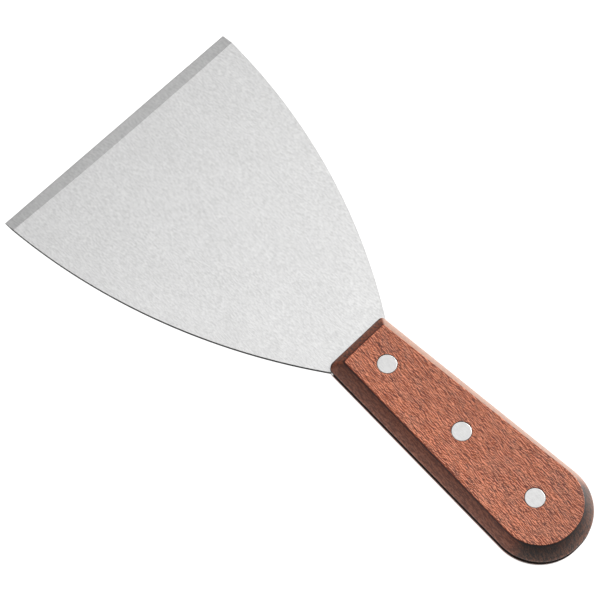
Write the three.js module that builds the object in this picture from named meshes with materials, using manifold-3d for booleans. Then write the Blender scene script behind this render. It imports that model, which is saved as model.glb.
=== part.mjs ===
// Bench scraper: a fan-shaped steel blade whose full tang is held between two wooden handle
// scales by three compression rivets. Millimetres, +Z up.
//
// The tool lies on the face of its lower scale. +X runs from the cutting edge to the butt, Y runs
// across the blade, and the origin is under the middle of the tool's length and width.
// Inside the functions, x is the distance from the cutting edge and z is measured from the
// mid-plane of the blade; the exported group shifts both.

import * as THREE from "three";
import { mergeVertices } from "three/addons/utils/BufferGeometryUtils.js";
import Module from "manifold-3d";

const wasm = await Module();
wasm.setup();

// Whole tool
const OVERALL_LENGTH = 209.8;
const HANDLE_THICKNESS = 14.4;

// Blade
const BLADE_THICKNESS = 1.27;
const EDGE_WIDTH = 101.6;
const GRIND_WIDTH = 4.7;
const EDGE_LAND = 0.25;
// Each side is straight and square to the edge at first, then an arc
const STRAIGHT_SIDE = 3.4;
const SIDE_RADIUS = 219.5;
const SIDE_CENTRE_X = -9.9;

// Handle: the outline at the tang, and the outline of the flat face that the chamfer leaves.
// "flare" is how much each side moves out per millimetre of length.
const TANG_OUTLINE = {
  front: 112.2,
  frontHalfWidth: 12.65,
  flare: 0.057,
  butt: OVERALL_LENGTH,
  frontCornerRadius: 2.6,
  cornerRadius: 16.3,
  buttRadius: 40,
};
const FACE_OUTLINE = {
  front: 116.1,
  frontHalfWidth: 9.14,
  flare: 0.0658,
  butt: OVERALL_LENGTH - 3.8,
  frontCornerRadius: 0.8,
  cornerRadius: 13.4,
  buttRadius: 21,
};
const WALL_HEIGHT = 1.1;
// How far the chamfer swells beyond a flat one at mid-height, as a share of its width
const CHAMFER_BULGE = 0.045;
const CHAMFER_STEPS = 3;

// Compression rivets: the barrel's head is in the upper scale and the post's in the lower one
const RIVETS = { front: 126.4, middle: 159, rear: 190.4 };
const HEAD_RADIUS = 3.28;
const HEAD_THICKNESS = 1.8;
const HEAD_RECESS = 0.05;
const HEAD_CLEARANCE = 0.12;
const BARREL_RADIUS = 2.1;
const BARREL_BORE_RADIUS = 1.5;
const POST_RADIUS = 1.4;
const HOLE_RADIUS = 2.25;
const BARREL_REACH = 4;
const BORE_DEPTH_PAST_MIDDLE = 3.6;
const POST_REACH = 3;

// Facets
const ROUND_SEGMENTS = 40;
const SIDE_STEPS = 24;
const SMALL_ARC_STEPS = 4;
const BUTT_CORNER_STEPS = 12;
const BUTT_STEPS = 3;

// ---------------------------------------------------------------- solids

function solidOf(geometry) {
  const bare = geometry.clone();
  bare.deleteAttribute("normal");
  bare.deleteAttribute("uv");
  const merged = mergeVertices(bare, 1e-5);
  return new wasm.Manifold(
    new wasm.Mesh({
      numProp: 3,
      vertProperties: new Float32Array(merged.attributes.position.array),
      triVerts: new Uint32Array(merged.index.array),
    }),
  );
}

function geometryOf(solid) {
  const mesh = solid.getMesh();
  const geometry = new THREE.BufferGeometry();
  geometry.setAttribute("position", new THREE.BufferAttribute(mesh.vertProperties, 3));
  geometry.setIndex(new THREE.BufferAttribute(mesh.triVerts, 1));
  geometry.computeVertexNormals();
  return geometry;
}

// A closed skin over rings of equal length, each a list of Vector3 running anticlockwise
// seen from above, from the lowest ring to the highest. The rings are convex.
function loft(rings) {
  const count = rings[0].length;
  const positions = rings.flat().flatMap((p) => [p.x, p.y, p.z]);
  const index = [];
  for (let ring = 0; ring < rings.length - 1; ring += 1) {
    for (let i = 0; i < count; i += 1) {
      const a = ring * count + i;
      const b = ring * count + ((i + 1) % count);
      index.push(a, b, b + count, a, b + count, a + count);
    }
  }
  const top = (rings.length - 1) * count;
  for (let i = 1; i < count - 1; i += 1) {
    index.push(0, i + 1, i);
    index.push(top, top + i, top + i + 1);
  }
  const geometry = new THREE.BufferGeometry();
  geometry.setAttribute("position", new THREE.Float32BufferAttribute(positions, 3));
  geometry.setIndex(index);
  return geometry;
}

function verticalCylinder(radius, low, high) {
  const cylinder = new THREE.CylinderGeometry(radius, radius, high - low, ROUND_SEGMENTS);
  cylinder.rotateX(Math.PI / 2);
  return cylinder.translate(0, 0, (low + high) / 2);
}

// ---------------------------------------------------------------- outlines

function arc(centreX, centreY, radius, fromAngle, toAngle, steps) {
  const points = [];
  for (let i = 0; i <= steps; i += 1) {
    const angle = fromAngle + ((toAngle - fromAngle) * i) / steps;
    points.push(
      new THREE.Vector2(centreX + radius * Math.cos(angle), centreY + radius * Math.sin(angle)),
    );
  }
  return points;
}

// The +Y half of a handle outline, from its front corner to the middle of its butt: a small
// corner arc, a straight flaring side, a large corner arc and half of the flatter butt arc,
// each tangent to the next.
function handleHalf(outline) {
  const { front, frontHalfWidth, flare, butt } = outline;
  const { frontCornerRadius, cornerRadius, buttRadius } = outline;
  const sideAngle = Math.atan(flare);
  const sideNormal = sideAngle + Math.PI / 2;
  const sideY = (x, radius) => {
    return frontHalfWidth + flare * (x - front) - radius / Math.cos(sideAngle);
  };

  const frontCentreX = front + frontCornerRadius;
  const frontCorner = arc(
    frontCentreX,
    sideY(frontCentreX, frontCornerRadius),
    frontCornerRadius,
    Math.PI,
    sideNormal,
    SMALL_ARC_STEPS,
  );

  // The large corner's centre lies on the line parallel to the side, and on the circle that
  // keeps the corner tangent to the butt arc.
  const buttCentreX = butt - buttRadius;
  const reach = buttRadius - cornerRadius;
  const lineY = sideY(buttCentreX, cornerRadius);
  const a = 1 + flare * flare;
  const b = flare * lineY;
  const along = (-b + Math.sqrt(b * b - a * (lineY * lineY - reach * reach))) / a;
  const cornerX = buttCentreX + along;
  const cornerY = lineY + flare * along;
  const meetAngle = Math.atan2(cornerY, along);
  const corner = arc(cornerX, cornerY, cornerRadius, sideNormal, meetAngle, BUTT_CORNER_STEPS);
  const end = arc(buttCentreX, 0, buttRadius, meetAngle, 0, BUTT_STEPS);
  return [...frontCorner, ...corner, ...end.slice(1)];
}

// The whole outline from its +Y half, which ends on the axis: anticlockwise, out along the -Y
// side and back along the +Y side
function bothSides(half) {
  const lowerSide = half.slice(0, -1).map((p) => new THREE.Vector2(p.x, -p.y));
  return [...lowerSide, ...half.slice().reverse()];
}

// The +Y half of the blade and tang outline, from the corner of the cutting edge
function bladeHalf() {
  const tip = new THREE.Vector2(0, EDGE_WIDTH / 2);
  const startX = STRAIGHT_SIDE - SIDE_CENTRE_X;
  const centreY = EDGE_WIDTH / 2 - Math.sqrt(SIDE_RADIUS ** 2 - startX ** 2);
  const tang = handleHalf(TANG_OUTLINE).filter((p) => {
    return p.x > TANG_OUTLINE.front + TANG_OUTLINE.frontCornerRadius;
  });
  const { front, frontHalfWidth, flare } = TANG_OUTLINE;
  const slope = Math.atan(flare);
  // Where the side arc crosses the straight side of the tang
  const offset = frontHalfWidth + flare * (SIDE_CENTRE_X - front) - centreY;
  const distance = offset * Math.cos(slope);
  const meetAngle = Math.acos(distance / SIDE_RADIUS);
  const endAngle = slope + Math.PI / 2 - meetAngle;
  const startAngle = Math.acos(startX / SIDE_RADIUS);
  const side = arc(SIDE_CENTRE_X, centreY, SIDE_RADIUS, startAngle, endAngle, SIDE_STEPS);
  return [tip, ...side, ...tang];
}

// ---------------------------------------------------------------- pieces

function bladeAndTang() {
  const shape = new THREE.Shape(bothSides(bladeHalf()));
  for (const x of Object.values(RIVETS)) {
    shape.holes.push(new THREE.Path().absarc(x, 0, HOLE_RADIUS, 0, 2 * Math.PI, true));
  }
  const plate = new THREE.ExtrudeGeometry(shape, {
    depth: BLADE_THICKNESS,
    bevelEnabled: false,
    curveSegments: ROUND_SEGMENTS / 2,
  });
  plate.translate(0, 0, -BLADE_THICKNESS / 2);

  // The grind takes a long wedge off the upper face and leaves a narrow land at the edge
  const margin = 5;
  const top = BLADE_THICKNESS / 2;
  const slope = (BLADE_THICKNESS - EDGE_LAND) / GRIND_WIDTH;
  const section = new THREE.Shape([
    new THREE.Vector2(-margin, top - slope * (GRIND_WIDTH + margin)),
    new THREE.Vector2(GRIND_WIDTH + margin, top + slope * margin),
    new THREE.Vector2(-margin, top + slope * margin),
  ]);
  const length = EDGE_WIDTH + 2 * margin;
  const wedge = new THREE.ExtrudeGeometry(section, { depth: length, bevelEnabled: false });
  wedge.rotateX(Math.PI / 2);
  wedge.translate(0, length / 2, 0);
  return geometryOf(solidOf(plate).subtract(solidOf(wedge)));
}

// The upper scale: a short upright wall on the tang's outline, a slightly bulging chamfer up to
// the outline of the flat face, and three counterbored rivet holes.
function upperScale() {
  const low = BLADE_THICKNESS / 2;
  const high = HANDLE_THICKNESS / 2;
  const base = bothSides(handleHalf(TANG_OUTLINE));
  const face = bothSides(handleHalf(FACE_OUTLINE));
  const rings = [base.map((p) => new THREE.Vector3(p.x, p.y, low))];
  for (let step = 0; step <= CHAMFER_STEPS; step += 1) {
    const t = step / CHAMFER_STEPS;
    const inset = t - CHAMFER_BULGE * Math.sin(Math.PI * t);
    const z = THREE.MathUtils.lerp(low + WALL_HEIGHT, high, t);
    rings.push(
      base.map((p, i) => {
        const q = p.clone().lerp(face[i], inset);
        return new THREE.Vector3(q.x, q.y, z);
      }),
    );
  }
  let scale = solidOf(loft(rings));
  for (const x of Object.values(RIVETS)) {
    const seat = high - HEAD_RECESS - HEAD_THICKNESS;
    const hole = verticalCylinder(HOLE_RADIUS, low - 1, high + 1).translate(x, 0, 0);
    const counterbore = verticalCylinder(HEAD_RADIUS + HEAD_CLEARANCE, seat, high + 1);
    scale = scale.subtract(solidOf(hole)).subtract(solidOf(counterbore.translate(x, 0, 0)));
  }
  return geometryOf(scale);
}

// The lower scale is the upper one turned over about the tool's length
function lowerScale() {
  return upperScale().rotateX(Math.PI);
}

function turned(profile) {
  const points = profile.map(([radius, height]) => new THREE.Vector2(radius, height));
  return new THREE.LatheGeometry(points, ROUND_SEGMENTS).rotateX(Math.PI / 2);
}

// Head on top, with a bored barrel below it that opens downwards
function rivetBarrel() {
  const top = HANDLE_THICKNESS / 2 - HEAD_RECESS;
  return turned([
    [0, BORE_DEPTH_PAST_MIDDLE],
    [BARREL_BORE_RADIUS, BORE_DEPTH_PAST_MIDDLE],
    [BARREL_BORE_RADIUS, -BARREL_REACH],
    [BARREL_RADIUS, -BARREL_REACH],
    [BARREL_RADIUS, top - HEAD_THICKNESS],
    [HEAD_RADIUS, top - HEAD_THICKNESS],
    [HEAD_RADIUS, top],
    [0, top],
  ]);
}

// Head underneath, with a solid post that presses up into the barrel
function rivetPost() {
  const bottom = -HANDLE_THICKNESS / 2 + HEAD_RECESS;
  return turned([
    [0, bottom],
    [HEAD_RADIUS, bottom],
    [HEAD_RADIUS, bottom + HEAD_THICKNESS],
    [POST_RADIUS, bottom + HEAD_THICKNESS],
    [POST_RADIUS, POST_REACH],
    [0, POST_REACH],
  ]);
}

// ---------------------------------------------------------------- materials

function stainlessSteel() {
  return new THREE.MeshStandardMaterial({ color: 0xd2d2d4, roughness: 0.38, metalness: 1 });
}

function rosewood(color) {
  return new THREE.MeshStandardMaterial({ color, roughness: 0.55, metalness: 0 });
}

function rivetMetal() {
  return new THREE.MeshStandardMaterial({ color: 0xdcdcdc, roughness: 0.45, metalness: 1 });
}

// ---------------------------------------------------------------- assembly

function named(name, geometry, material) {
  const mesh = new THREE.Mesh(geometry, material);
  mesh.name = name;
  return mesh;
}

const scraper = new THREE.Group();
scraper.position.set(-OVERALL_LENGTH / 2, 0, HANDLE_THICKNESS / 2);
scraper.add(named("blade_and_tang", bladeAndTang(), stainlessSteel()));
scraper.add(named("handle_scale_upper", upperScale(), rosewood(0xb6725a)));
scraper.add(named("handle_scale_lower", lowerScale(), rosewood(0xae6a52)));
for (const [place, x] of Object.entries(RIVETS)) {
  const rivet = new THREE.Group();
  rivet.position.x = x;
  rivet.add(named(`rivet_barrel_${place}`, rivetBarrel(), rivetMetal()));
  rivet.add(named(`rivet_post_${place}`, rivetPost(), rivetMetal()));
  scraper.add(rivet);
}

export default scraper;
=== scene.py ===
# Bench scraper: the fine meshes, materials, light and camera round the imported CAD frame.
# The frame is in metres. Shapes are worked out in millimetres in the tool's own terms: x is the
# distance from the cutting edge, y runs across the blade and z is measured from the blade's
# mid-plane. to_frame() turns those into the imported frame.

import math

import bpy
from mathutils import Matrix, Vector
from mathutils.geometry import delaunay_2d_cdt


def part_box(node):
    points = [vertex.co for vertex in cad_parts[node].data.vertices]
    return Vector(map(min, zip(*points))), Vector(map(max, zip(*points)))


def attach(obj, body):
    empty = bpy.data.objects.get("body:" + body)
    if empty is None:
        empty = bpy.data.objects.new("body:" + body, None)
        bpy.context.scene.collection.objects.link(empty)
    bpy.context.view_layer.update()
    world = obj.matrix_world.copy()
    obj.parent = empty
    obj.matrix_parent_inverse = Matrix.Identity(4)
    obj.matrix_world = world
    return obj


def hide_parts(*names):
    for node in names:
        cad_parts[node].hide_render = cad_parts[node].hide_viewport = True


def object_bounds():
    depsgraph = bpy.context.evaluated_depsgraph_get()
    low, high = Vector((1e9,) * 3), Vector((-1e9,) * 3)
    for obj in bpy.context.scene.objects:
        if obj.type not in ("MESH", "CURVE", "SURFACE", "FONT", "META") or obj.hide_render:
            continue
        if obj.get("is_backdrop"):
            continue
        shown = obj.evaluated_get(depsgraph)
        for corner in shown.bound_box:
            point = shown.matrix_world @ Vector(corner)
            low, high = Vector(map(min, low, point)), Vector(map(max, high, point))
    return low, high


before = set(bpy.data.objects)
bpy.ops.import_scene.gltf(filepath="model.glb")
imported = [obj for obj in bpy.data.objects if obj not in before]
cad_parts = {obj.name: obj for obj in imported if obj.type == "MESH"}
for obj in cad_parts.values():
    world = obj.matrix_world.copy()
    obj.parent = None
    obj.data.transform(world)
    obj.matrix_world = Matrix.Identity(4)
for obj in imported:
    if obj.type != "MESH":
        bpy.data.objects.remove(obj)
cad_low, cad_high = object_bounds()

MM = 0.001

# ---------------------------------------------------------------- sizes from the frame

blade_low, blade_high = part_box("blade_and_tang")
upper_low, upper_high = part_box("handle_scale_upper")

EDGE_X = blade_low.x
MIDDLE_Z = (blade_low.z + blade_high.z) / 2
OVERALL_LENGTH = (blade_high.x - blade_low.x) / MM
HALF_EDGE_WIDTH = (blade_high.y - blade_low.y) / 2 / MM
HALF_BLADE = (blade_high.z - blade_low.z) / 2 / MM
HALF_HANDLE = (upper_high.z - MIDDLE_Z) / MM
HANDLE_FRONT = (upper_low.x - EDGE_X) / MM

PLACES = ("front", "middle", "rear")
RIVET_X = {}
for place in PLACES:
    low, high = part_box("rivet_barrel_" + place)
    RIVET_X[place] = ((low.x + high.x) / 2 - EDGE_X) / MM
    HEAD_RADIUS = (high.x - low.x) / 2 / MM
    HEAD_TOP = (high.z - MIDDLE_Z) / MM
    BARREL_BOTTOM = (low.z - MIDDLE_Z) / MM
POST_TOP = (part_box("rivet_post_front")[1].z - MIDDLE_Z) / MM

# Blade. Each side is straight at first and then an arc. The grind line is bowed and a little
# askew. The tang's edge is plain steel over a short way behind the handle's front, and painted
# black as shade behind that.
SIDE_RADIUS = 219.5
SIDE_CENTRE_X = -9.9
STRAIGHT_SIDE = 3.4
EDGE_LAND = 0.25
GRIND_MIDDLE = 4.90
GRIND_SKEW = 0.15
GRIND_BOW = 0.60
EDGE_BREAK = 0.07
FRONT_BREAK = 0.16
BARE_START = 1.9
BARE_END = 2.8

# Handle outlines, as in the CAD
TANG_OUTLINE = dict(
    front=HANDLE_FRONT,
    front_half_width=12.65,
    flare=0.057,
    butt=OVERALL_LENGTH,
    front_corner=2.6,
    corner=16.3,
    butt_radius=40,
)
FACE_OUTLINE = dict(
    front=HANDLE_FRONT + 3.9,
    front_half_width=9.14,
    flare=0.0658,
    butt=OVERALL_LENGTH - 3.8,
    front_corner=0.8,
    corner=13.4,
    butt_radius=21,
)
CRISP_CORNER = 0.55
WALL_HEIGHT = 1.1
CHAMFER_WIDTH = 3.75
CHAMFER_BULGE = 0.17
SEAM_BREAK = 0.12
WALL_ARRIS = 0.28
FACE_ARRIS = 0.22

# Rivets
HEAD_THICKNESS = 1.8
HEAD_CLEARANCE = 0.12
HEAD_RIM = 0.18
BARREL_RADIUS = 2.1
BORE_RADIUS = 1.5
BORE_TOP = 3.6
BARREL_BREAK = 0.1
POST_RADIUS = 1.4
POST_BREAK = 0.2
HOLE_RADIUS = 2.25
COUNTERBORE_BREAK = 0.05

# Facets
FRONT_STEPS = 32
SIDE_STEPS = 72
STRAIGHT_STEPS = 16
SMALL_ARC_STEPS = 8
CORNER_STEPS = 36
BUTT_STEPS = 10
ROUND_STEPS = 64
ARRIS_STEPS = 4
CHAMFER_STEPS = 8
CLOSEST = 0.5
SHARP_ANGLE = 28
FILL_INSIDE = 2
FILL_TOLERANCE = 1e-7


def to_frame(x, y, z):
    return Vector((EDGE_X + x * MM, y * MM, MIDDLE_Z + z * MM))


# ---------------------------------------------------------------- outlines


def arc(centre_x, centre_y, radius, start, end, steps):
    points = []
    for i in range(steps + 1):
        angle = start + (end - start) * i / steps
        points.append((centre_x + radius * math.cos(angle), centre_y + radius * math.sin(angle)))
    return points


def straight(start, end, steps):
    """The points between start and end, without either."""
    return [
        tuple(a + (b - a) * i / steps for a, b in zip(start, end)) for i in range(1, steps)
    ]


def handle_half(front, front_half_width, flare, butt, front_corner, corner, butt_radius):
    """The half of a handle outline on one side, turned to +Y, from its front corner to the
    middle of the butt."""
    side_angle = math.atan(flare)
    side_normal = side_angle + math.pi / 2

    def side_y(x, radius):
        return front_half_width + flare * (x - front) - radius / math.cos(side_angle)

    front_x = front + front_corner
    corner_centre = (front_x, side_y(front_x, front_corner))
    small = arc(*corner_centre, front_corner, math.pi, side_normal, SMALL_ARC_STEPS)

    butt_x = butt - butt_radius
    reach = butt_radius - corner
    line_y = side_y(butt_x, corner)
    a = 1 + flare * flare
    b = flare * line_y
    along = (-b + math.sqrt(b * b - a * (line_y * line_y - reach * reach))) / a
    centre_y = line_y + flare * along
    meet = math.atan2(centre_y, along)
    large = arc(butt_x + along, centre_y, corner, side_normal, meet, CORNER_STEPS)
    end = arc(butt_x, 0, butt_radius, meet, 0, BUTT_STEPS)
    return [*small, *straight(small[-1], large[0], STRAIGHT_STEPS), *large, *end[1:]]


def handle_outline(shape):
    """The whole outline, anticlockwise from above. The +Y front corner was sanded less."""
    lower = handle_half(**shape)
    upper = handle_half(**{**shape, "front_corner": shape["front_corner"] * CRISP_CORNER})
    return [(x, -y) for x, y in lower[:-1]] + upper[::-1]


def grind_width(y):
    """How far the ground bevel reaches in from the cutting edge. Its line bows a little."""
    share = y / HALF_EDGE_WIDTH
    return GRIND_MIDDLE + GRIND_SKEW * share - GRIND_BOW * share * share


def blade_top(x, y):
    """Height of the blade's upper surface."""
    fall = 2 * HALF_BLADE - EDGE_LAND
    return HALF_BLADE - fall * max(0.0, 1 - x / grind_width(y))


def blade_side(sign):
    """One side of the blade and tang, from the end of its straight part to the middle of the
    butt."""
    start_x = STRAIGHT_SIDE - SIDE_CENTRE_X
    centre_y = HALF_EDGE_WIDTH - math.sqrt(SIDE_RADIUS**2 - start_x**2)
    front, half_width, flare = (TANG_OUTLINE[k] for k in ("front", "front_half_width", "flare"))
    slope = math.atan(flare)
    offset = half_width + flare * (SIDE_CENTRE_X - front) - centre_y
    meet = math.acos(offset * math.cos(slope) / SIDE_RADIUS)
    start = math.acos(start_x / SIDE_RADIUS)
    end = slope + math.pi / 2 - meet
    side = arc(SIDE_CENTRE_X, centre_y, SIDE_RADIUS, start, end, SIDE_STEPS)
    grind_x = grind_width(sign * HALF_EDGE_WIDTH)
    grind_y = centre_y + math.sqrt(SIDE_RADIUS**2 - (grind_x - SIDE_CENTRE_X) ** 2)
    side = [side[0], (grind_x, grind_y), *(p for p in side if p[0] > grind_x + CLOSEST)]
    bare_end = (front + BARE_END, half_width + flare * BARE_END)
    tang = [p for p in handle_half(**TANG_OUTLINE) if p[0] > bare_end[0] + CLOSEST]
    return [(x, sign * y) for x, y in (*side, bare_end, *tang)]


def circle(x, radius):
    """A closed circle round a rivet's axis, anticlockwise."""
    return arc(x, 0, radius, 0, 2 * math.pi, ROUND_STEPS)[:-1]


def inset(points, distance):
    """A closed anticlockwise outline moved inwards, corners mitred."""
    moved = []
    for i, point in enumerate(points):
        here = Vector(point)
        back = (here - Vector(points[i - 1])).normalized()
        ahead = (Vector(points[(i + 1) % len(points)]) - here).normalized()
        inward = Vector((-back.y - ahead.y, back.x + ahead.x)).normalized()
        cosine = inward.dot(Vector((-ahead.y, ahead.x)))
        moved.append(tuple(here + inward * distance / cosine))
    return moved


# ---------------------------------------------------------------- meshes


class Skin:
    """Vertices in tool millimetres and faces, built up ring by ring."""

    def __init__(self):
        self.points = []
        self.faces = []
        self.finish = []
        self.smooth = []

    def ring(self, outline, height):
        """Adds a closed ring of points. height is a number or a function of x and y."""
        first = len(self.points)
        for x, y in outline:
            z = height(x, y) if callable(height) else height
            self.points.append((x, y, z))
        return list(range(first, len(self.points)))

    def face(self, corners, finish=0, smooth=True):
        """finish is a material's place in the list, or a function of the face's middle x."""
        if callable(finish):
            finish = finish(sum(self.points[i][0] for i in corners) / len(corners))
        self.faces.append(corners)
        self.finish.append(finish)
        self.smooth.append(smooth)

    def band(self, lower, upper, finish=0):
        """Quads between two rings of the same length, facing outwards."""
        count = len(lower)
        for i in range(count):
            j = (i + 1) % count
            self.face((lower[i], lower[j], upper[j], upper[i]), finish)

    def cap(self, loop, holes=(), up=True, finish=0):
        """Fills a loop, less its holes, which are convex: a triangle with all its corners on one
        hole lies inside it."""
        loops = [loop, *holes]
        open_loops = [set(hole) for hole in holes]
        index = [i for one in loops for i in one]
        flat = [Vector(self.points[i][:2]) for i in index]
        edges = []
        first = 0
        for one in loops:
            count = len(one)
            edges += [(first + i, first + (i + 1) % count) for i in range(count)]
            first += count
        filled = delaunay_2d_cdt(flat, edges, [], FILL_INSIDE, FILL_TOLERANCE)
        made, origin = filled[2:4]
        for corners in made:
            face = [index[origin[c][0]] for c in corners]
            if not any(set(face) <= hole for hole in open_loops):
                self.face(face if up else face[::-1], finish, smooth=False)

    def build(self, name, materials):
        mesh = bpy.data.meshes.new(name)
        mesh.from_pydata([to_frame(*p) for p in self.points], [], self.faces)
        for material in materials:
            mesh.materials.append(material)
        mesh.polygons.foreach_set("material_index", self.finish)
        mesh.set_sharp_from_angle(angle=math.radians(SHARP_ANGLE))
        mesh.polygons.foreach_set("use_smooth", self.smooth)
        mesh.validate()
        mesh.update()
        piece = bpy.data.objects.new(name, mesh)
        bpy.context.scene.collection.objects.link(piece)
        return piece


def place_piece(piece, node):
    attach(piece, "root")
    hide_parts(node)


FACE, BEVEL, STAMPED, TANG = range(4)
# The second wood finish is the upper scale's wall, painted near-black as shade.
WOOD, SHADED_WALL = range(2)
WALL_BANDS = 2


def side_finish(x):
    """The finish of the steel's edge at x: sheared and painted dark along the blade, as shade in
    part, plain ground steel where the scales' rounded corners leave it showing, and painted
    black as shade along the tang."""
    if x < HANDLE_FRONT + BARE_START:
        return STAMPED
    return BEVEL if x < HANDLE_FRONT + BARE_END else TANG


def build_blade(materials):
    """The stamped blade and tang, ground on its upper side and broken all round."""
    lower_side = blade_side(-1)
    upper_side = blade_side(1)
    tips = ((0, -HALF_EDGE_WIDTH), (0, HALF_EDGE_WIDTH))
    front = straight(tips[1], tips[0], FRONT_STEPS)
    outline = [tips[0], *lower_side, *upper_side[-2::-1], tips[1], *front]
    inner = inset(outline, EDGE_BREAK)
    sides = len(outline) - len(front)

    skin = Skin()
    front_points = {0, *range(sides - 1, len(outline))}
    top_inner = [
        (FRONT_BREAK if i in front_points else x, y) for i, (x, y) in enumerate(inner)
    ]
    bottom_break = skin.ring(inner, -HALF_BLADE)
    bottom = skin.ring(outline, -HALF_BLADE + EDGE_BREAK)
    top = skin.ring(outline, lambda x, y: blade_top(x, y) - EDGE_BREAK)
    top_break = skin.ring(top_inner, blade_top)
    skin.band(bottom_break, bottom, side_finish)
    skin.band(bottom, top, side_finish)
    skin.band(top, top_break, side_finish)

    # The grind's strip: the front of the inner ring, and the bowed line behind it. The line
    # ends beyond the straight part of each side, which leaves a triangle.
    far, far_straight, tip = top_break[sides - 3 : sides]
    near_tip, near_straight, near = top_break[:3]
    start, end = (Vector(skin.points[i][:2]) for i in (far, near))
    grind = []
    for i in range(1, FRONT_STEPS):
        y = start.y + (end.y - start.y) * i / FRONT_STEPS
        grind.append((grind_width(y), y))
    line = [far, *skin.ring(grind, HALF_BLADE), near]
    rim = [tip, *top_break[sides:], near_tip]
    for i in range(FRONT_STEPS):
        skin.face((line[i + 1], rim[i + 1], rim[i], line[i])[::-1], BEVEL, smooth=False)
    skin.face((far, far_straight, tip), BEVEL, smooth=False)
    skin.face((near_tip, near_straight, near), BEVEL, smooth=False)

    holes_top = [skin.ring(circle(RIVET_X[p], HOLE_RADIUS), HALF_BLADE) for p in PLACES]
    holes_bottom = [skin.ring(circle(RIVET_X[p], HOLE_RADIUS), -HALF_BLADE) for p in PLACES]
    skin.cap([*top_break[2 : sides - 2], *line[1:-1]], holes_top, True, FACE)
    skin.cap(bottom_break, holes_bottom, False, FACE)
    for upper, lower in zip(holes_top, holes_bottom):
        skin.band(upper, lower, STAMPED)
    return skin.build("blade", materials)


def eased(start, corner, end):
    """A rounded corner from start to end, as a curve that leaves towards the corner."""
    points = []
    for i in range(ARRIS_STEPS + 1):
        t = i / ARRIS_STEPS
        points.append(start.lerp(corner, t).lerp(corner.lerp(end, t), t))
    return points


def scale_section():
    """(inset, height) down the side of a scale, from the tang to its flat face, in mm."""
    seam = Vector((0, HALF_BLADE))
    shoulder = Vector((0, HALF_BLADE + WALL_HEIGHT))
    arris = Vector((CHAMFER_WIDTH, HALF_HANDLE))
    slope = (arris - shoulder).normalized()
    outward = Vector((-slope.y, slope.x))
    up = Vector((0, 1))
    inward = Vector((1, 0))
    low = shoulder + slope * WALL_ARRIS
    high = arris - slope * FACE_ARRIS
    chamfer = []
    for i in range(CHAMFER_STEPS + 1):
        t = i / CHAMFER_STEPS
        chamfer.append(low.lerp(high, t) + outward * CHAMFER_BULGE * math.sin(math.pi * t))
    return [
        seam + inward * SEAM_BREAK,
        seam + up * SEAM_BREAK,
        *eased(shoulder - up * WALL_ARRIS, shoulder, chamfer[0]),
        *chamfer[1:-1],
        *eased(chamfer[-1], arris, arris + inward * FACE_ARRIS),
    ]


def build_scale(name, side, materials):
    """One handle scale. side is 1 for the upper one and -1 for the lower one. The upright wall
    of the upper one is painted near-black as shade."""
    outer = handle_outline(TANG_OUTLINE)
    inner = handle_outline(FACE_OUTLINE)
    skin = Skin()
    rings = []
    for depth, height in scale_section():
        share = depth / CHAMFER_WIDTH
        outline = [tuple(Vector(a).lerp(Vector(b), share)) for a, b in zip(outer, inner)]
        rings.append(skin.ring(outline, height))
    for i, (lower, upper) in enumerate(zip(rings, rings[1:])):
        skin.band(lower, upper, SHADED_WALL if side > 0 and i < WALL_BANDS else WOOD)

    seat = HEAD_TOP - HEAD_THICKNESS
    bore = HEAD_RADIUS + HEAD_CLEARANCE
    mouths = []
    exits = []
    for place in PLACES:
        x = RIVET_X[place]
        levels = [
            skin.ring(circle(x, bore + COUNTERBORE_BREAK), HALF_HANDLE),
            skin.ring(circle(x, bore), HALF_HANDLE - COUNTERBORE_BREAK),
            skin.ring(circle(x, bore), seat),
            skin.ring(circle(x, HOLE_RADIUS), seat),
            skin.ring(circle(x, HOLE_RADIUS), HALF_BLADE),
        ]
        for upper, lower in zip(levels, levels[1:]):
            skin.band(upper, lower)
        mouths.append(levels[0])
        exits.append(levels[-1])
    skin.cap(rings[-1], mouths, True)
    skin.cap(rings[0], exits, False)
    if side < 0:
        skin.points = [(x, y, -z) for x, y, z in skin.points]
        skin.faces = [face[::-1] for face in skin.faces]
    return skin.build(name, materials)


def build_turned(name, x, profile, materials):
    """A closed solid of revolution about a vertical axis, from (radius, height) points. The
    rounded rim of the head has a brighter metal of its own, a painted highlight."""
    skin = Skin()
    rings = [skin.ring(circle(x, radius), height) for radius, height in profile]
    heights = [height for _, height in profile]
    for i, (lower, upper) in enumerate(zip(rings, rings[1:])):
        middle = abs(heights[i] + heights[i + 1]) / 2
        skin.band(lower, upper, 1 if middle > HEAD_TOP - HEAD_RIM else 0)
    skin.cap(rings[0], (), False)
    skin.cap(rings[-1], (), True)
    return skin.build(name, materials)


def head_rim(top, outward):
    """The rounded rim of a rivet head: outward is 1 when the head faces up."""
    points = []
    for i in range(ARRIS_STEPS + 1):
        angle = math.pi / 2 * i / ARRIS_STEPS
        radius = HEAD_RADIUS - HEAD_RIM * (1 - math.cos(angle))
        points.append((radius, top - outward * HEAD_RIM * (1 - math.sin(angle))))
    return points


def barrel_profile():
    """The barrel opens downwards, so the profile starts and ends inside its bore."""
    return [
        (BORE_RADIUS, BORE_TOP),
        (BORE_RADIUS, BARREL_BOTTOM + BARREL_BREAK),
        (BORE_RADIUS + BARREL_BREAK, BARREL_BOTTOM),
        (BARREL_RADIUS - BARREL_BREAK, BARREL_BOTTOM),
        (BARREL_RADIUS, BARREL_BOTTOM + BARREL_BREAK),
        (BARREL_RADIUS, HEAD_TOP - HEAD_THICKNESS),
        (HEAD_RADIUS, HEAD_TOP - HEAD_THICKNESS),
        *head_rim(HEAD_TOP, 1),
    ]


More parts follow.
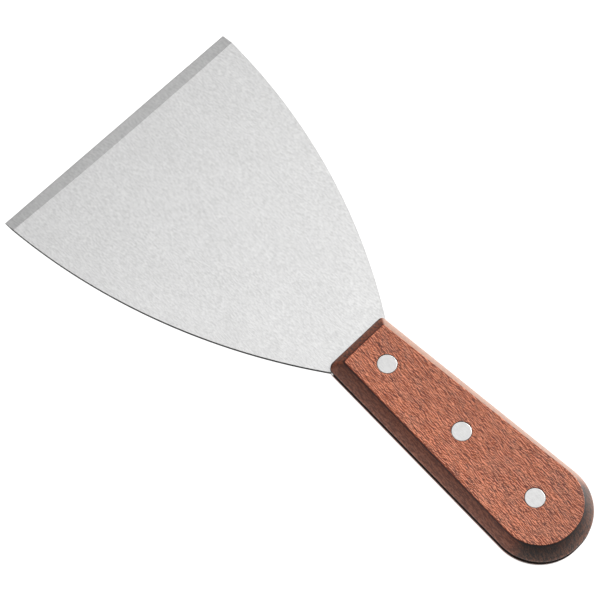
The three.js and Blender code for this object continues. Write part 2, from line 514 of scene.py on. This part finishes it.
def post_profile():
    return [
        *head_rim(-HEAD_TOP, -1)[::-1],
        (HEAD_RADIUS, HEAD_THICKNESS - HEAD_TOP),
        (POST_RADIUS, HEAD_THICKNESS - HEAD_TOP),
        (POST_RADIUS, POST_TOP - POST_BREAK),
        (POST_RADIUS - POST_BREAK, POST_TOP),
    ]


# ---------------------------------------------------------------- materials


def linear(red, green, blue):
    """An sRGB colour, 0 to 255, as a linear one."""
    values = []
    for value in (red, green, blue):
        s = value / 255
        values.append(s / 12.92 if s <= 0.04045 else ((s + 0.055) / 1.055) ** 2.4)
    return (*values, 1.0)


WHITE = linear(255, 255, 255)

# Layers of noise. A size is that of the features along x, y and z, in mm.
BRUSH_WARP = dict(size=(9, 9, 9), detail=1)
BRUSH_LONG = dict(size=(2.4, 0.3, 1), detail=2, roughness=0.6)
BRUSH_SHORT = dict(size=(0.96, 0.26, 1), detail=2, roughness=0.7)
BRUSH_CLOUD = dict(size=(14, 9, 9), detail=3, roughness=0.55)
BRUSH_SWAY = (0.0, 0.2, 0.0)

SHEAR_TEAR = dict(size=(0.5, 0.5, 1.4), detail=3, roughness=0.7)
SHEAR_STAIN = dict(size=(7, 7, 3), detail=2)
SHADE_PATCHES = dict(size=(3, 3, 1), detail=3, roughness=0.6)
SHADE_TEAR = dict(size=(0.6, 0.6, 0.3), detail=2, roughness=0.6)

RIVET_FINE = dict(size=(1.6, 0.14, 1), detail=3, roughness=0.7)
RIVET_CROSS = dict(size=(1.4, 0.12, 1), detail=2, roughness=0.7)
RIVET_CLOUD = dict(size=(2.2, 2.2, 2), detail=2)
RIVET_FINE_TURN = -10
RIVET_CROSS_TURN = 55

WOOD_SWAY = dict(size=(30, 9, 9), detail=2)
WOOD_BANDS = dict(size=(26, 2.2, 3.2), detail=3, roughness=0.6)
WOOD_LINES = dict(size=(14, 0.24, 0.3), detail=2, roughness=0.6, shift=(5, 23, 13))
WOOD_FIBRES = dict(length=1.4, period=0.62, anisotropy=0.9)
WOOD_HAIRS = dict(length=0.8, period=0.46, anisotropy=0.7, shift=(11, 3, 7))
WOOD_CLOUDS = dict(size=(7.5, 3.4, 3.6), detail=3, roughness=0.6)
WOOD_LONG_PORES = dict(size=(3.2, 0.34, 0.36), detail=1.5, roughness=0.55)
WOOD_SHORT_PORES = dict(size=(1.4, 0.26, 0.3), detail=1, shift=(31, 17, 5))
WOOD_SPECKS = dict(size=(1.8, 0.7, 1.8), detail=3, roughness=0.75)
WOOD_SWAY_REACH = (0.0, 1.4, 1.2)
GRAIN_TURN = -10
GRAIN_RISE = 4
LOWER_OFFSET = (0.31, 0.17, 0.05)

# A crack-like pore that wanders in to the front rivet: its ends, and the wander along it.
CRACK = ((118.3, 3.2), (123.6, 1.9))
CRACK_WIDTH = 0.33
CRACK_WANDER = 0.35
CRACK_BENDS = dict(size=(1.1, 30, 30), detail=1)

# Wood colours
BAND_COLOURS = (
    (0.30, linear(150, 72, 42)),
    (0.44, linear(166, 84, 51)),
    (0.56, linear(174, 92, 57)),
    (0.72, linear(187, 104, 66)),
)
AGED = linear(124, 82, 68)
LIGHT_FIBRE = linear(232, 148, 114)
DARK_FIBRE = linear(106, 42, 28)
OPEN_PORE = linear(62, 28, 20)
OPEN_CRACK = linear(70, 34, 24)
RUBBED = linear(170, 92, 58)
# PALE_LINES is painted light and sheen for the +Y chamfer.
PALE_LINES = (linear(120, 68, 36), linear(154, 108, 62))

# Painted shading on the cut surfaces, by level: 0 at the tang, SHOULDER at the top of the
# upright wall and
# 1 at the flat face. The wall is painted dark as shade and its arris pale as a painted
# highlight; the chamfer is painted darker as shade, darkest right under the face as a painted
# shadow line, and the face's arris is bright as a painted highlight. The butt and the front are
# multiplied by painted shade of their own, darkest under the face at the butt and at the foot at
# the front, and LOWER_WALL takes over on the lower scale's wall, which is left light.
SCALE_THICKNESS = HALF_HANDLE - HALF_BLADE
SHOULDER = WALL_HEIGHT / SCALE_THICKNESS
CUT_SHADING = (
    (0.0, linear(20, 12, 8)),
    (SHOULDER - 0.05, linear(44, 32, 26)),
    (SHOULDER, linear(215, 208, 202)),
    (SHOULDER + 0.02, linear(255, 250, 246)),
    (SHOULDER + 0.10, linear(212, 210, 206)),
    (0.88, linear(182, 170, 162)),
    (0.93, linear(90, 64, 54)),
    (0.965, linear(120, 80, 68)),
    (0.985, linear(255, 215, 205)),
)
BUTT_SHADING = (
    (SHOULDER, linear(172, 190, 192)),
    (0.5, linear(138, 152, 152)),
    (0.9, linear(106, 110, 106)),
)
FRONT_SHADING = (
    (SHOULDER + 0.02, linear(104, 97, 87)),
    (SHOULDER + 0.16, linear(242, 236, 217)),
)
LOWER_WALL = linear(255, 240, 225)

# Other colours
# Painted shade: the black band of shadow and dark reflection along the tang's edge and the upper
# scale's wall.
TANG_BLACK = (linear(12, 6, 4), linear(34, 20, 14))
WALL_SHADE = (linear(22, 12, 8), linear(58, 38, 28))

# Noise keeps mostly to NOISE_RANGE, and the sum of two layers of scratches to SCRATCH_RANGE.
NOISE_RANGE = (0.3, 0.7)
SCRATCH_RANGE = (0.36, 0.64)
SHADE_RANGE = (0.4, 0.7)

# Where the wood's layers start to show and where they show fully, and how strong they get.
AGED_RANGE = (0.50, 0.66)
AGED_SHARE = 0.65
LIGHT_RANGE = (0.49, 0.545)
LIGHT_SHARE = 0.9
DARK_RANGE = (0.50, 0.445)
DARK_SHARE = 0.95
LONG_PORE_RANGE = (0.62, 0.68)
SHORT_PORE_RANGE = (0.60, 0.67)
PORE_SHARE = 0.75
CRACK_SHARE = 0.9
LINE_RANGE = (0.42, 0.58)
SPECK_RANGE = (0.41, 0.58)
SPECK_TONES = (0.38, 1.5)

# Slow changes over the handle: the face gets more aged from the middle rivet on, and darker
# towards +Y and the butt. The -Y side's cut surfaces are painted darker as shade, most near the
# front.
OLDER_END = RIVET_X["rear"] + 12
OLDER_BY = 0.09
ACROSS_REACH = (-13, 13)
ACROSS_TONES = (1.05, 0.93)
BUTT_TONE_END = OVERALL_LENGTH - 8
BUTT_TONE = 0.93
NEAR_SIDE_REACH = (HANDLE_FRONT + 2, HANDLE_FRONT + 30)
NEAR_SIDE_TONES = (0.68, 0.84)

# The cut surfaces: how deep below the face they start, in mm, and which way each one faces.
CUT_DEPTHS = (0.01, 0.1)
WALL_STARTS = (0.02, 0.04)
WALL_FADE = 0.08
FACES_FRONT = (-0.25, -0.75)
FACES_BUTT = (0.05, 0.4)
FACES_NEAR = (-0.45, -0.7)
FACES_FAR = (0.45, 0.7)
FAR_SIDE_END = (0.35, 0.05)
RUBBED_SHARE = 0.55
FAR_SIDE_SHARE = 0.6
COAT = 0.05
ARRIS_FADE = (SHOULDER + 0.12, SHOULDER + 0.02)
ARRIS_POLISH = 0.12
FIBRE_RELIEF = 0.35


class Graph:
    """A material and short ways to add nodes to it."""

    def __init__(self, name, **shader):
        self.material = bpy.data.materials.new(name)
        self.material.use_nodes = True
        self.tree = self.material.node_tree
        self.tree.nodes.clear()
        self.output = self.node("ShaderNodeOutputMaterial")
        self.shader = self.node("ShaderNodeBsdfPrincipled")
        for socket, value in shader.items():
            self.shader.inputs[socket.replace("_", " ")].default_value = value
        self.link(self.shader.outputs[0], self.output.inputs["Surface"])
        coordinates = self.node("ShaderNodeTexCoord")
        self.place = coordinates.outputs["Object"]

    def node(self, kind, **settings):
        made = self.tree.nodes.new(kind)
        for key, value in settings.items():
            setattr(made, key, value)
        return made

    def link(self, value, socket):
        if isinstance(value, bpy.types.NodeSocket):
            self.tree.links.new(value, socket)
        else:
            socket.default_value = value

    def math(self, operation, *values):
        made = self.node("ShaderNodeMath", operation=operation)
        for value, socket in zip(values, made.inputs):
            self.link(value, socket)
        return made.outputs[0]

    def times(self, *values):
        """The product of all the values."""
        product = values[0]
        for value in values[1:]:
            product = self.math("MULTIPLY", product, value)
        return product

    def weighted(self, *parts):
        """The sum of values, given as (value, weight)."""
        total = None
        for value, weight in parts:
            part = self.math("MULTIPLY", value, weight)
            total = part if total is None else self.math("ADD", total, part)
        return total

    def vector(self, operation, *values):
        made = self.node("ShaderNodeVectorMath", operation=operation)
        for value, socket in zip(values, made.inputs):
            self.link(value, socket)
        return made.outputs[0]

    def split(self, vector):
        made = self.node("ShaderNodeSeparateXYZ")
        self.link(vector, made.inputs[0])
        return made.outputs

    def tool_place(self):
        """x, y and z in the tool's own terms, in mm."""
        origin = (EDGE_X, 0.0, MIDDLE_Z)
        return [
            self.math("DIVIDE", self.math("SUBTRACT", value, start), MM)
            for value, start in zip(self.split(self.place), origin)
        ]

    def turned(self, angles=(0, 0, 0), offset=(0, 0, 0)):
        """The place in mm, turned by those angles and moved by that offset in metres."""
        made = self.node("ShaderNodeMapping", vector_type="TEXTURE")
        self.link(self.place, made.inputs["Vector"])
        made.inputs["Rotation"].default_value = [math.radians(a) for a in angles]
        made.inputs["Location"].default_value = offset
        made.inputs["Scale"].default_value = (MM, MM, MM)
        return made.outputs[0]

    def swayed(self, vector, noise, reach):
        """The vector, moved by up to that reach as the noise varies."""
        return self.vector("ADD", vector, self.vector("MULTIPLY", self.grey(noise), reach))

    def noise(self, vector, size, detail, roughness=0.5, shift=None):
        """Noise from 0 to 1, mostly within NOISE_RANGE."""
        if shift:
            vector = self.vector("ADD", vector, shift)
        made = self.node("ShaderNodeTexNoise")
        self.link(self.vector("DIVIDE", vector, size), made.inputs["Vector"])
        made.inputs["Scale"].default_value = 1.0
        made.inputs["Detail"].default_value = detail
        made.inputs["Roughness"].default_value = roughness
        return made.outputs[0]

    def streaks(self, vector, length, period, anisotropy, shift=None):
        """Short dashes along x, from 0 to 1, that follow each other across it."""
        if shift:
            vector = self.vector("ADD", vector, shift)
        made = self.node("ShaderNodeTexGabor", gabor_type="3D")
        self.link(self.vector("DIVIDE", vector, (length, period, period)), made.inputs["Vector"])
        made.inputs["Scale"].default_value = 1.0
        made.inputs["Frequency"].default_value = 1.0
        made.inputs["Anisotropy"].default_value = anisotropy
        made.inputs["Orientation 3D"].default_value = (0, 1, 0)
        return made.outputs["Value"]

    def span(self, value, low, high, to_low=0.0, to_high=1.0):
        """value from low..high to to_low..to_high, smoothly and clamped."""
        made = self.node("ShaderNodeMapRange", interpolation_type="SMOOTHSTEP")
        for number, socket in zip((value, low, high, to_low, to_high), made.inputs):
            self.link(number, socket)
        return made.outputs[0]

    def vary(self, noise, low, high):
        """Noise to low..high."""
        return self.span(noise, *NOISE_RANGE, low, high)

    def ramp(self, value, stops):
        made = self.node("ShaderNodeValToRGB")
        elements = made.color_ramp.elements
        while len(elements) < len(stops):
            elements.new(0.5)
        for element, (position, colour) in zip(elements, stops):
            element.position = position
            element.color = colour
        self.link(value, made.inputs[0])
        return made.outputs[0]

    def mix(self, share, first, second, blend="MIX"):
        made = self.node("ShaderNodeMix", data_type="RGBA", blend_type=blend)
        self.link(share, made.inputs[0])
        self.link(first, made.inputs[6])
        self.link(second, made.inputs[7])
        return made.outputs[2]

    def tinted(self, colour, by):
        """A colour multiplied by another."""
        return self.mix(1.0, colour, by, "MULTIPLY")

    def grey(self, value):
        """A neutral colour of that brightness."""
        made = self.node("ShaderNodeCombineColor")
        for socket in made.inputs:
            self.link(value, socket)
        return made.outputs[0]

    def bump(self, height, distance, strength):
        """A normal bumped by a height whose full range stands for that distance in mm."""
        made = self.node("ShaderNodeBump")
        made.inputs["Distance"].default_value = distance * MM
        made.inputs["Strength"].default_value = strength
        self.link(height, made.inputs["Height"])
        return made.outputs[0]

    def wear(self, **sockets):
        """Links node outputs to the shader's own sockets, and gives the material."""
        for socket, value in sockets.items():
            self.link(value, self.shader.inputs[socket.replace("_", " ")])
        return self.material


def brushed_steel(name, brightness, depth, roughness):
    """Satin stainless: short fine scratches along the tool, with a softer cloudiness. depth is
    how far the scratches' brightness varies."""
    g = Graph(name, Metallic=1.0)
    place = g.turned()
    swayed = g.swayed(place, g.noise(place, **BRUSH_WARP), BRUSH_SWAY)
    short = g.noise(swayed, **BRUSH_SHORT)
    lines = g.weighted((g.noise(swayed, **BRUSH_LONG), 0.4), (short, 0.6))
    shade = g.span(lines, *SCRATCH_RANGE, 1 - depth, 1 + depth)
    cloud = g.vary(g.noise(place, **BRUSH_CLOUD), 0.985, 1.015)
    return g.wear(
        Base_Color=g.grey(g.times(shade, cloud, brightness)),
        Roughness=g.vary(short, roughness - 0.05, roughness + 0.07),
        Normal=g.bump(lines, distance=0.02, strength=0.5),
    )


def stamped_steel(name):
    """The sheared edge of the sheet: matt and torn across its thickness, and near-black, partly
    its own sheared finish and partly painted shade for the dark reflection along it.
    """
    g = Graph(name, Metallic=1.0)
    place = g.turned()
    torn = g.noise(place, **SHEAR_TEAR)
    along = g.tool_place()[0]
    # Near-black: partly the sheared finish, partly painted shade for the dark reflection.
    dull_and_shaded = g.span(along, 30, HANDLE_FRONT, 0.04, 0.03)
    stain_and_shade = g.vary(g.noise(place, **SHEAR_STAIN), 0.85, 1.15)
    return g.wear(
        Base_Color=g.grey(g.times(dull_and_shaded, g.vary(torn, 0.7, 1.25), stain_and_shade)),
        Roughness=g.vary(torn, 0.5, 0.7),
        Normal=g.bump(torn, distance=0.03, strength=0.6),
    )


def painted_black(name, colours):
    """Painted shade: matt and nearly black, on the tang's edge and on the upper scale's wall
    along the seam.
    """
    g = Graph(name, IOR=1.05)
    place = g.turned()
    patches = g.noise(place, **SHADE_PATCHES)
    torn = g.noise(place, **SHADE_TEAR)
    return g.wear(
        Base_Color=g.mix(g.span(patches, *SHADE_RANGE), *colours),
        Roughness=g.vary(torn, 0.6, 0.8),
        Normal=g.bump(torn, distance=0.03, strength=0.6),
    )


def rivet_metal(name, low, high):
    """Sanded flush with the wood: two sets of fine scratches, from low to high brightness."""
    g = Graph(name, Metallic=1.0)
    place = g.turned((0, 0, RIVET_FINE_TURN))
    crossed = g.turned((0, 0, RIVET_CROSS_TURN))
    fine = g.noise(place, **RIVET_FINE)
    shade = g.weighted((fine, 0.65), (g.noise(crossed, **RIVET_CROSS), 0.35))
    cloud = g.vary(g.noise(place, **RIVET_CLOUD), 0.97, 1.03)
    return g.wear(
        Base_Color=g.grey(g.times(g.span(shade, *SCRATCH_RANGE, low, high), cloud)),
        Roughness=g.vary(shade, 0.38, 0.48),
        Normal=g.bump(shade, distance=0.02, strength=0.5),
    )


def wood_figure(g, place, along, across):
    """The planed wood: its colour, its fibres and its pores."""
    swayed = g.swayed(place, g.noise(place, **WOOD_SWAY), WOOD_SWAY_REACH)
    lines = g.noise(swayed, **WOOD_LINES)
    fibres = g.streaks(swayed, **WOOD_FIBRES)
    grain = g.weighted((fibres, 0.4), (g.streaks(swayed, **WOOD_HAIRS), 0.3), (lines, 0.3))

    colour = g.ramp(g.noise(swayed, **WOOD_BANDS), BAND_COLOURS)
    older = g.span(along, RIVET_X["middle"], OLDER_END, 0, OLDER_BY)
    aged = g.math("ADD", g.noise(swayed, **WOOD_CLOUDS), older)
    colour = g.mix(g.span(aged, *AGED_RANGE, 0.0, AGED_SHARE), colour, AGED)
    colour = g.mix(g.span(grain, *LIGHT_RANGE, 0.0, LIGHT_SHARE), colour, LIGHT_FIBRE)
    colour = g.mix(g.span(grain, *DARK_RANGE, 0.0, DARK_SHARE), colour, DARK_FIBRE)
    long_pores = g.span(g.noise(swayed, **WOOD_LONG_PORES), *LONG_PORE_RANGE)
    short_pores = g.span(g.noise(swayed, **WOOD_SHORT_PORES), *SHORT_PORE_RANGE)
    pores = g.math("MAXIMUM", long_pores, short_pores)
    colour = g.mix(g.times(pores, PORE_SHARE), colour, OPEN_PORE)

    tone = g.span(across, *ACROSS_REACH, *ACROSS_TONES)
    tone = g.times(tone, g.span(along, RIVET_X["rear"], BUTT_TONE_END, 1.0, BUTT_TONE))
    colour = g.tinted(colour, g.grey(tone))
    crack = g.times(wood_crack(g, place, along, across), CRACK_SHARE)
    colour = g.mix(crack, colour, OPEN_CRACK)
    return colour, fibres, lines, pores


def wood_crack(g, place, along, across):
    """1 inside the crack-like pore and 0 elsewhere."""
    (start_x, start_y), (end_x, end_y) = CRACK
    share = g.math("DIVIDE", g.math("SUBTRACT", along, start_x), end_x - start_x)
    path = g.math("ADD", g.times(share, end_y - start_y), start_y)
    bends = g.vary(g.noise(place, **CRACK_BENDS), -CRACK_WANDER, CRACK_WANDER)
    gap = g.math("ABSOLUTE", g.math("SUBTRACT", across, g.math("ADD", path, bends)))
    ends = g.times(g.span(share, -0.05, 0.1), g.span(share, 1.05, 0.9))
    return g.times(g.span(gap, CRACK_WIDTH, CRACK_WIDTH / 4), ends)


def rosewood(name, offset):
    """Oiled rosewood: planed on its flat face, and rubbed where it is cut, with painted shade
    and highlights on its cut surfaces.
    """
    g = Graph(name, IOR=1.42, Coat_Roughness=0.3)
    place = g.turned((0, GRAIN_RISE, GRAIN_TURN), offset)
    along, across, up = g.tool_place()
    colour, fibres, lines, pores = wood_figure(g, place, along, across)

    # Where on the scale this is. front_end and butt_end are cut across the grain, near_side is
    # the -Y one and far_side the +Y one.
    height = g.math("ABSOLUTE", up)
    cut = g.span(height, *(HALF_HANDLE - depth for depth in CUT_DEPTHS))
    level = g.math("DIVIDE", g.math("SUBTRACT", height, HALF_BLADE), SCALE_THICKNESS)
    below = g.math("LESS_THAN", up, 0.0)
    wall = g.span(level, SHOULDER + WALL_FADE, SHOULDER)
    wall = g.times(g.span(level, *WALL_STARTS), wall)
    normal_x, normal_y, _ = g.split(g.node("ShaderNodeNewGeometry").outputs["Normal"])
    front_end = g.span(normal_x, *FACES_FRONT)
    butt_end = g.span(normal_x, *FACES_BUTT)
    near_side = g.span(normal_y, *FACES_NEAR)
    far_side = g.times(g.span(normal_y, *FACES_FAR), g.span(normal_x, *FAR_SIDE_END))

    # Painted shade and highlights on the cut surfaces, by level; the upper wall is painted dark
    # as shade and the lower wall left light. The butt, the front's foot and the -Y side get more
    # painted shade.
    stain_and_shade = g.mix(g.times(below, wall), g.ramp(level, CUT_SHADING), LOWER_WALL)
    stain_and_shade = g.mix(butt_end, stain_and_shade, g.tinted(stain_and_shade, g.ramp(level, BUTT_SHADING)))
    stain_and_shade = g.mix(front_end, stain_and_shade, g.tinted(stain_and_shade, g.ramp(level, FRONT_SHADING)))
    # Painted shade on the -Y side, darkest near the front.
    near_side_shade = g.grey(g.span(along, *NEAR_SIDE_REACH, *NEAR_SIDE_TONES))
    stain_and_shade = g.tinted(stain_and_shade, g.mix(near_side, WHITE, near_side_shade))

    # The figure is fainter where it is rubbed, and specks of end grain show at both ends.
    rubbed = g.mix(RUBBED_SHARE, colour, RUBBED)
    specks = g.grey(g.span(g.noise(place, **WOOD_SPECKS), *SPECK_RANGE, *SPECK_TONES))
    ends = g.math("MAXIMUM", front_end, butt_end)
    rubbed = g.mix(ends, rubbed, g.tinted(rubbed, specks))
    colour = g.mix(cut, colour, g.tinted(rubbed, stain_and_shade))

    # The far side is painted paler, painted light and sheen where the key falls, and gets more
    # coat.
    sheen_and_polish = g.times(cut, far_side, FAR_SIDE_SHARE)
    colour = g.mix(sheen_and_polish, colour, g.mix(g.span(lines, *LINE_RANGE), *PALE_LINES))

    # The lower arris is rubbed smooth, but not at the front.
    arris = g.times(g.span(level, *ARRIS_FADE), cut, g.math("SUBTRACT", 1.0, front_end))
    smooth = g.times(arris, ARRIS_POLISH)
    relief = g.math("SUBTRACT", g.times(fibres, FIBRE_RELIEF), pores)
    return g.wear(
        Base_Color=colour,
        Roughness=g.math("SUBTRACT", g.vary(fibres, 0.5, 0.4), smooth),
        Normal=g.bump(relief, distance=0.06, strength=0.6),
        Coat_Weight=g.math("ADD", sheen_and_polish, COAT),
    )


FLOOR_BASE = (0.22, 0.22, 0.22, 1)


def floor_material():
    """A lit table, which keeps the background pure white."""
    g = Graph("floor_white", Roughness=0.6, Emission_Strength=1.0)
    g.shader.inputs["Base Color"].default_value = FLOOR_BASE
    g.shader.inputs["Emission Color"].default_value = WHITE
    return g.material


# ---------------------------------------------------------------- assembly

steel = [
    brushed_steel("steel_brushed", brightness=0.64, depth=0.17, roughness=0.36),
    brushed_steel("steel_ground", brightness=0.70, depth=0.15, roughness=0.42),
    stamped_steel("steel_stamped"),
    painted_black("steel_tang_edge", TANG_BLACK),
]
blade = build_blade(steel)
place_piece(blade, "blade_and_tang")

# The upper scale's wall is painted near-black as shade.
wall_shade = painted_black("rosewood_wall_shade", WALL_SHADE)
upper = build_scale("scale_upper", 1, [rosewood("rosewood_upper", (0, 0, 0)), wall_shade])
place_piece(upper, "handle_scale_upper")
lower = build_scale("scale_lower", -1, [rosewood("rosewood_lower", LOWER_OFFSET)])
place_piece(lower, "handle_scale_lower")

# The rims get brighter metal, a painted highlight.
metal = [
    rivet_metal("rivet_satin", low=0.54, high=0.67),
    rivet_metal("rivet_rim_highlight", low=0.74, high=0.84),
]
for place in PLACES:
    barrel = build_turned("barrel_" + place, RIVET_X[place], barrel_profile(), metal)
    place_piece(barrel, "rivet_barrel_" + place)
    post = build_turned("post_" + place, RIVET_X[place], post_profile(), metal)
    place_piece(post, "rivet_post_" + place)

# ---------------------------------------------------------------- stage

# Lengths are in metres. Each light stands in the direction "toward" from the tool's middle. The
# blade mirrors the overhead one, the key lights the +Y chamfer and the bevel mirrors the front.
FLOOR_HALF = 1.6
FLOOR_GAP = 0.00005
WORLD_STRENGTH = 0.20
NEUTRAL = (1.0, 1.0, 1.0)
WARM = (1.0, 0.985, 0.955)
SOFTBOXES = {
    "overhead": dict(
        toward=(0.03, 0.165, 0.97),
        distance=0.9,
        width=1.0,
        height=0.9,
        radiance=1.15,
        colour=NEUTRAL,
    ),
    "key": dict(
        toward=(0.15, 0.95, 0.30),
        distance=1.1,
        width=0.8,
        height=0.6,
        radiance=14.0,
        colour=WARM,
    ),
    "front": dict(
        toward=(-0.63, 0.30, 0.72),
        distance=1.1,
        width=0.8,
        height=0.5,
        radiance=0.65,
        colour=NEUTRAL,
    ),
}


def build_floor():
    mesh = bpy.data.meshes.new("floor")
    z = cad_low.z - FLOOR_GAP
    corners = [(-1, -1), (1, -1), (1, 1), (-1, 1)]
    points = [(x * FLOOR_HALF, y * FLOOR_HALF, z) for x, y in corners]
    mesh.from_pydata(points, [], [(0, 1, 2, 3)])
    mesh.materials.append(floor_material())
    floor = bpy.data.objects.new("floor", mesh)
    bpy.context.scene.collection.objects.link(floor)
    floor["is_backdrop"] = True


def aimed(back, roll=0.0):
    """A rotation whose +Z is back, level apart from a roll about it."""
    up = (Vector((0, 0, 1)) - back * back.z).normalized()
    right = up.cross(back)
    up, right = (
        up * math.cos(roll) - right * math.sin(roll),
        right * math.cos(roll) + up * math.sin(roll),
    )
    return Matrix((right, up, back)).transposed().to_4x4()


def softbox(name, toward, distance, width, height, radiance, colour):
    """A rectangular light that far from the tool's middle, aimed at it."""
    light = bpy.data.lights.new(name, "AREA")
    light.shape = "RECTANGLE"
    light.size = width
    light.size_y = height
    light.energy = radiance * math.pi * width * height
    light.color = colour
    lamp = bpy.data.objects.new(name, light)
    back = Vector(toward).normalized()
    lamp.matrix_world = Matrix.Translation(back * distance) @ aimed(back)
    bpy.context.scene.collection.objects.link(lamp)


def build_lights():
    for name, settings in SOFTBOXES.items():
        softbox(name, **settings)
    world = bpy.data.worlds.new("studio")
    world.use_nodes = True
    background = world.node_tree.nodes["Background"]
    background.inputs["Color"].default_value = (*NEUTRAL, 1.0)
    background.inputs["Strength"].default_value = WORLD_STRENGTH
    bpy.context.scene.world = world


# The photo's camera: where it looks, from which side and how far down in degrees, its roll, its
# distance in metres and its lens in mm.
VIEW_AIM = (-16.08 * MM, -1.48 * MM, MIDDLE_Z)
VIEW_HEADING = -47.62
VIEW_TILT = 23.81
VIEW_ROLL = 2.39
VIEW_DISTANCE = 0.74707
LENS = 136.85
SENSOR = 36


def build_camera():
    data = bpy.data.cameras.new("camera")
    data.lens = LENS
    data.sensor_width = SENSOR
    camera = bpy.data.objects.new("camera", data)
    heading, tilt = math.radians(VIEW_HEADING), math.radians(VIEW_TILT)
    back = Vector(
        (math.cos(heading) * math.sin(tilt), math.sin(heading) * math.sin(tilt), math.cos(tilt))
    )
    position = Vector(VIEW_AIM) + back * VIEW_DISTANCE
    camera.matrix_world = Matrix.Translation(position) @ aimed(back, math.radians(VIEW_ROLL))
    bpy.context.scene.collection.objects.link(camera)
    bpy.context.scene.camera = camera


build_floor()
build_lights()
build_camera()
bpy.context.scene.view_settings.view_transform = "Standard"
bpy.context.scene.view_settings.look = "None"

low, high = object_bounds()
